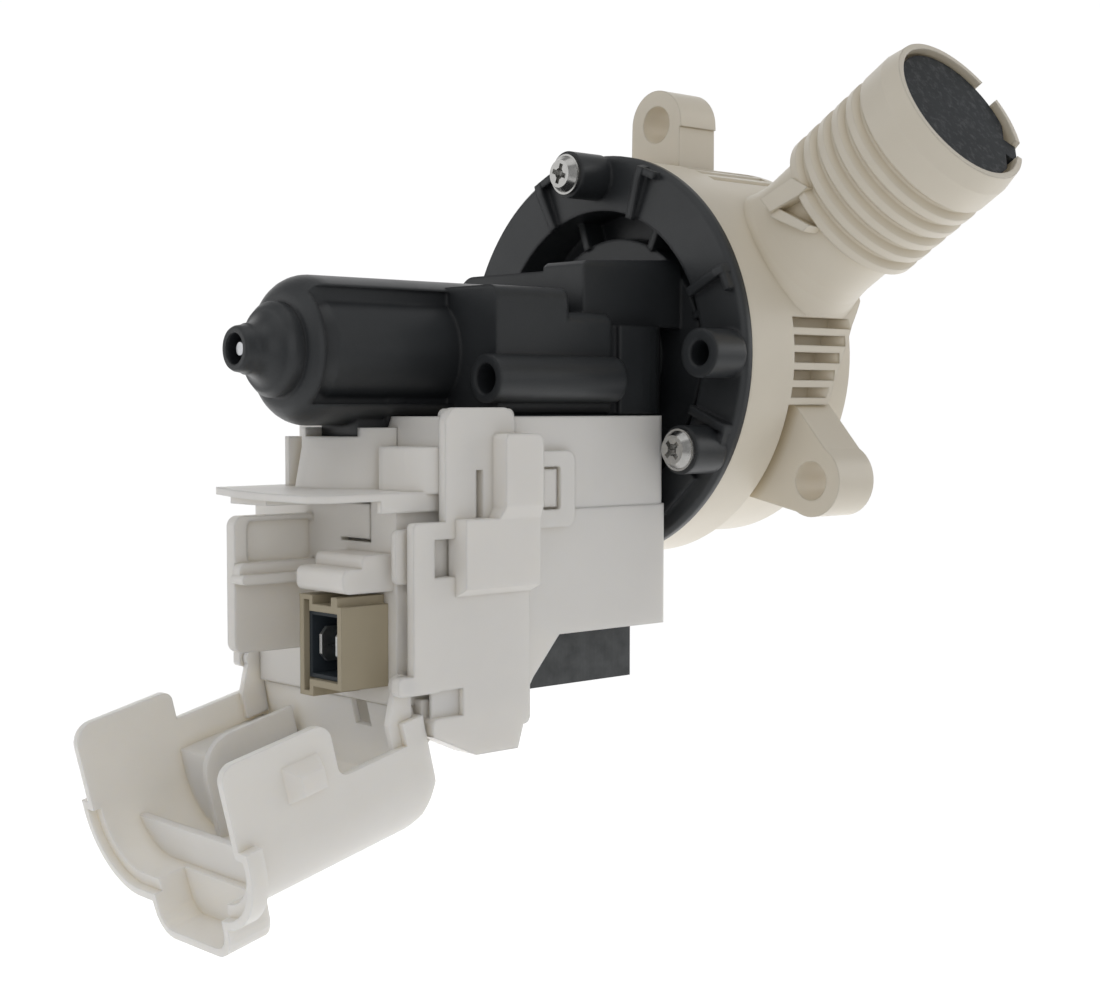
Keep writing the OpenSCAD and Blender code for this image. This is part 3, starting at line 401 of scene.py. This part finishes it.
# Apron under the connector box, behind the end wall of the splash cover, in metres: its section as (x, z),
# its ends along y, its thickness, and how far in and how far up its lower corners are rounded
APRON_SECTION = [(-0.0892, -0.0642), (-0.0892, -0.0652), (-0.0908, -0.0672), (-0.0917, -0.0700),
                 (-0.0922, -0.0738)]
APRON_ENDS = (-0.0215, 0.0105)
APRON_T = 0.0012
APRON_CORNER_IN = 0.004
APRON_CORNER_UP = 0.0022
APRON_STEPS = 24


def make_apron():
    """Thin curved wall whose lower corners are rounded."""
    y0, y1 = APRON_ENDS
    top = APRON_SECTION[0][1]
    height = top - APRON_SECTION[-1][1]
    bm = bmesh.new()
    rows = []
    for step in range(APRON_STEPS + 1):
        y = y0 + (y1 - y0) * step / APRON_STEPS
        # The lower edge rises towards both ends
        near_end = min(y - y0, y1 - y) / APRON_CORNER_IN
        lift = APRON_CORNER_UP * max(0.0, 1.0 - near_end) ** 2
        rows.append([bm.verts.new((x, y, z + lift * (top - z) / height)) for x, z in APRON_SECTION])
    for a, b in zip(rows, rows[1:]):
        for j in range(len(APRON_SECTION) - 1):
            bm.faces.new((a[j], b[j], b[j + 1], a[j + 1]))
    mesh = bpy.data.meshes.new("hinge_apron")
    bm.to_mesh(mesh)
    bm.free()
    apron = bpy.data.objects.new("hinge_apron", mesh)
    bpy.context.scene.collection.objects.link(apron)
    thick = apron.modifiers.new("thick", "SOLIDIFY")
    thick.thickness = APRON_T
    thick.offset = 0.0
    apron.data.materials.append(MATERIALS["white_plastic"])
    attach(apron, "stator_body")


def floor_look():
    """Pale floor that glows behind the pump, and far from it fades into the white wall."""
    look = Look("pale_floor")
    look.give("Base Color", look.tones(look.noise(3.0), LIGHT_WHITE, (0.3, 0.86), (0.7, 0.88)))
    look.give("Roughness", 0.9)
    look.give("Emission Color", (*LIGHT_WHITE, 1.0))
    towards = look.along(look.place, BACKDROP)
    look.give("Emission Strength", look.span(towards, FLOOR_GLOW, FLOOR_GLOW_SPAN))
    distance = look.node("ShaderNodeVectorMath", operation="LENGTH")
    look.join(look.place, distance.inputs[0])
    gone = look.span(distance.outputs["Value"], (0.0, 1.0), FLOOR_FADE)
    clear = look.node("ShaderNodeBsdfTransparent")
    surface = look.mix(gone, look.shader.outputs["BSDF"], clear.outputs["BSDF"])
    look.join(surface, look.tree.nodes["Material Output"].inputs["Surface"])
    return look.material


def make_floor():
    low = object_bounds()[0][2] - FLOOR_DROP
    corners = [(-1, -1), (1, -1), (1, 1), (-1, 1)]
    mesh = bpy.data.meshes.new("floor")
    mesh.from_pydata([(x * FLOOR_REACH, y * FLOOR_REACH, low) for x, y in corners], [], [(0, 1, 2, 3)])
    floor = bpy.data.objects.new("floor", mesh)
    bpy.context.scene.collection.objects.link(floor)
    floor.data.materials.append(floor_look())


def make_world():
    """Bright backdrop in one direction, softer light from everywhere else, and a white wall to look at."""
    world = bpy.data.worlds.new("studio")
    world.use_nodes = True
    tree = Tree(world.node_tree)
    lit = world.node_tree.nodes["Background"]
    lit.inputs["Color"].default_value = (*LIGHT_WHITE, 1.0)
    towards = tree.along(tree.node("ShaderNodeTexCoord").outputs["Generated"], BACKDROP)
    tree.join(tree.span(towards, (AMBIENT, BACKDROP_LIGHT), BACKDROP_EDGE), lit.inputs["Strength"])
    wall = tree.node("ShaderNodeBackground")
    wall.inputs["Color"].default_value = (*LIGHT_WHITE, 1.0)
    wall.inputs["Strength"].default_value = BACKDROP_LIGHT
    seen = tree.node("ShaderNodeLightPath").outputs["Is Camera Ray"]
    surface = tree.mix(seen, lit.outputs["Background"], wall.outputs["Background"])
    tree.join(surface, world.node_tree.nodes["World Output"].inputs["Surface"])
    bpy.context.scene.world = world


def make_lights():
    for name, (at, size, power) in LIGHTS.items():
        data = bpy.data.lights.new(name, "AREA")
        data.shape = "SQUARE"
        data.size = size
        data.energy = power
        light = bpy.data.objects.new(name, data)
        bpy.context.scene.collection.objects.link(light)
        light.location = at
        light.rotation_euler = (Vector(LIGHTS_AIM) - Vector(at)).to_track_quat("-Z", "Y").to_euler()


make_camera()
dress_nodes()
make_apron()
make_floor()
make_world()
make_lights()
bpy.context.scene.view_settings.view_transform = "Standard"
